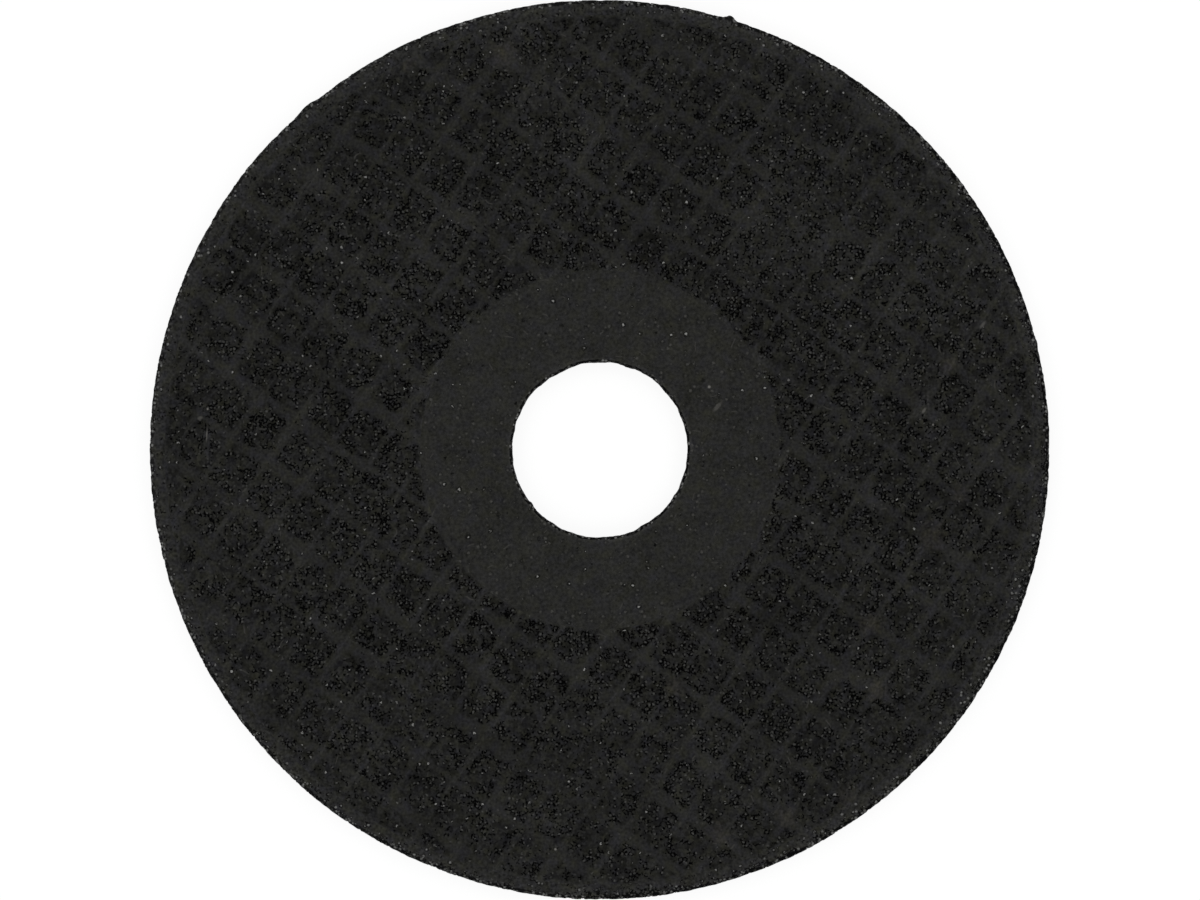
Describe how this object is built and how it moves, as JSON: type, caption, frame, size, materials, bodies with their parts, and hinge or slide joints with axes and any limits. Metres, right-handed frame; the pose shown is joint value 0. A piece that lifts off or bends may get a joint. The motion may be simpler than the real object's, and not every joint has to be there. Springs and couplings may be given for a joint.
{
  "type": "cut off wheel",
  "caption": "Flat abrasive disc with a plain arbor bore, smooth hub and rim bands, and a glass mesh imprint of sunk gritty windows on both faces.",
  "frame": {"origin": "centre of the arbor bore, at the level of the lower face that the wheel lies on", "axes": "+Z along the bore axis, out of the upper face; +X and +Y point to the right and up in the picture's straight view"},
  "size_m": [0.115, 0.115, 0.003],
  "materials": {
    "bonded_abrasive": "matt charcoal resin bond with coarse dark grain"
  },
  "bodies": {
    "root": {"cut_off_wheel": "bonded_abrasive"}
  },
  "joints": []
}
